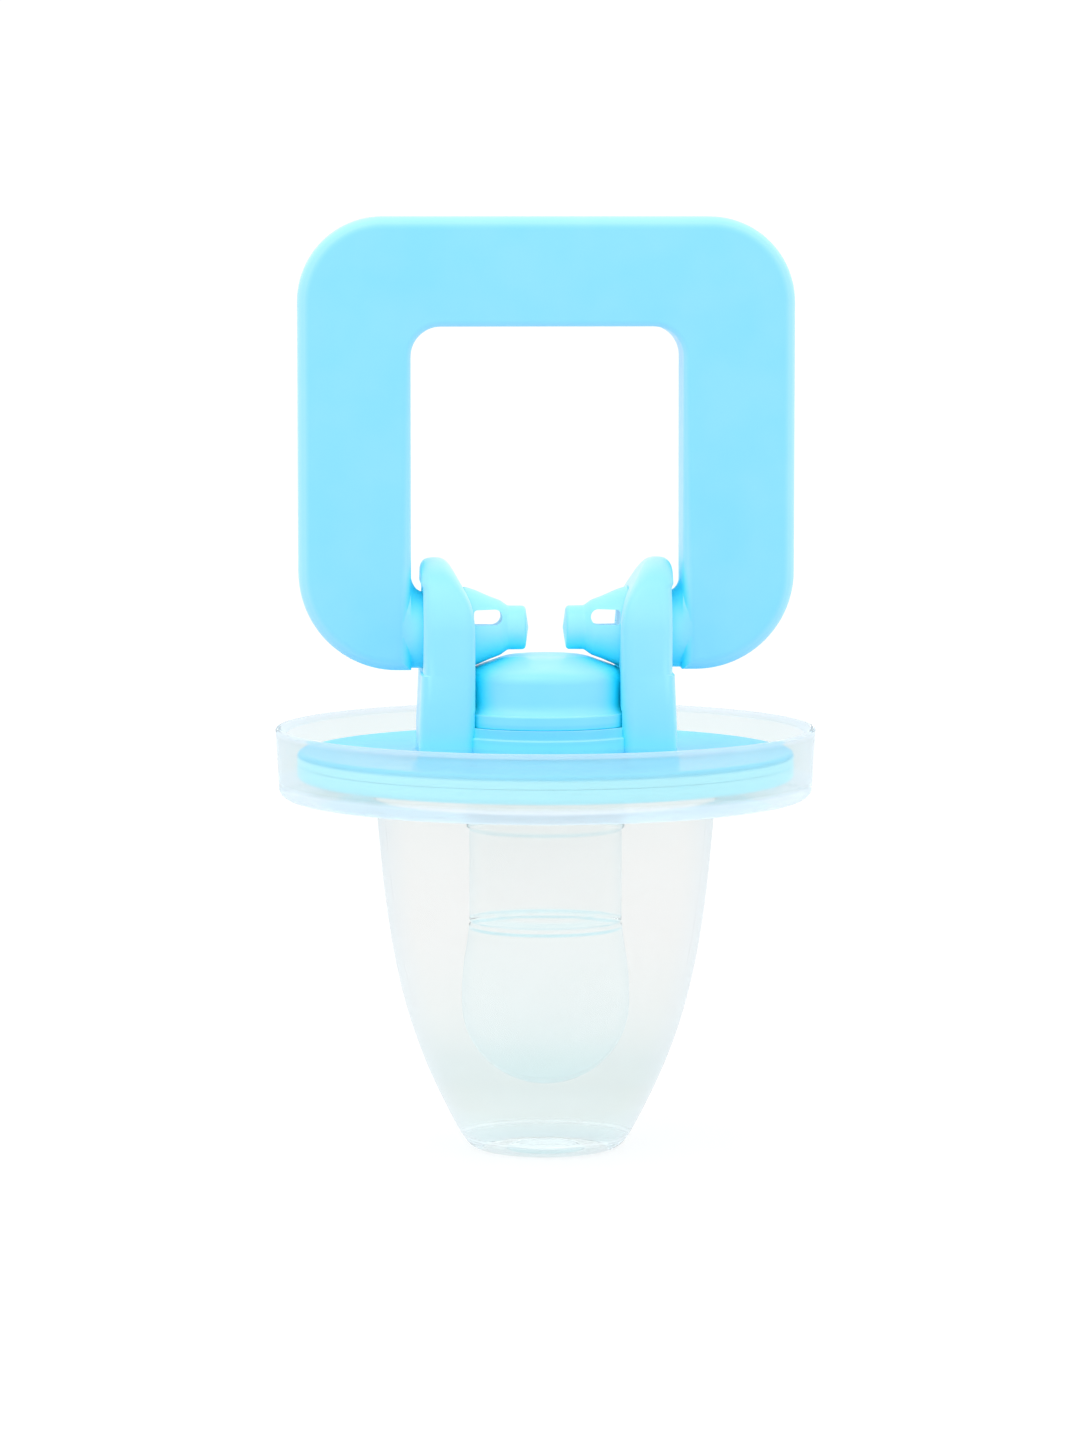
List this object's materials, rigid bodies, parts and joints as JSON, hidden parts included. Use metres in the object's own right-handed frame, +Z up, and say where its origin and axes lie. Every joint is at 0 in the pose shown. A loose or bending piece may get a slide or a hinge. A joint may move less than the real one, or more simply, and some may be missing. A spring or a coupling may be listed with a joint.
{
  "type": "pacifier",
  "caption": "Baby pacifier with a square ring handle on two ears, round mouth shield, silicone teat and a clear flanged travel cap that it stands in.",
  "frame": {"origin": "centre of the cap's foot, on the surface that the object stands on", "axes": "+Z up along the teat's axis, -Y towards the front of the ring handle, X along the handle's hinge"},
  "size_m": [0.049, 0.049, 0.0847],
  "materials": {
    "blue_plastic": "satin moulded",
    "clear_plastic": "clear polished",
    "silicone": "clear soft"
  },
  "bodies": {
    "cap": {"cap": "clear_plastic"},
    "soother": {"guard_plate": "blue_plastic", "guard_top": "blue_plastic", "teat": "silicone", "neck_sleeve": "clear_plastic", "knob": "blue_plastic"},
    "handle": {"ring_handle": "blue_plastic"}
  },
  "joints": [
    {"name": "soother_lift", "type": "slide", "parent": "cap", "child": "soother", "axis": [0, 0, 1], "range_m": [0, 0.045]},
    {"name": "handle_swing", "type": "hinge", "parent": "soother", "child": "handle", "pos_m": [0, 0, 0.0476], "axis": [1, 0, 0], "range_deg": [-100, 100]}
  ]
}
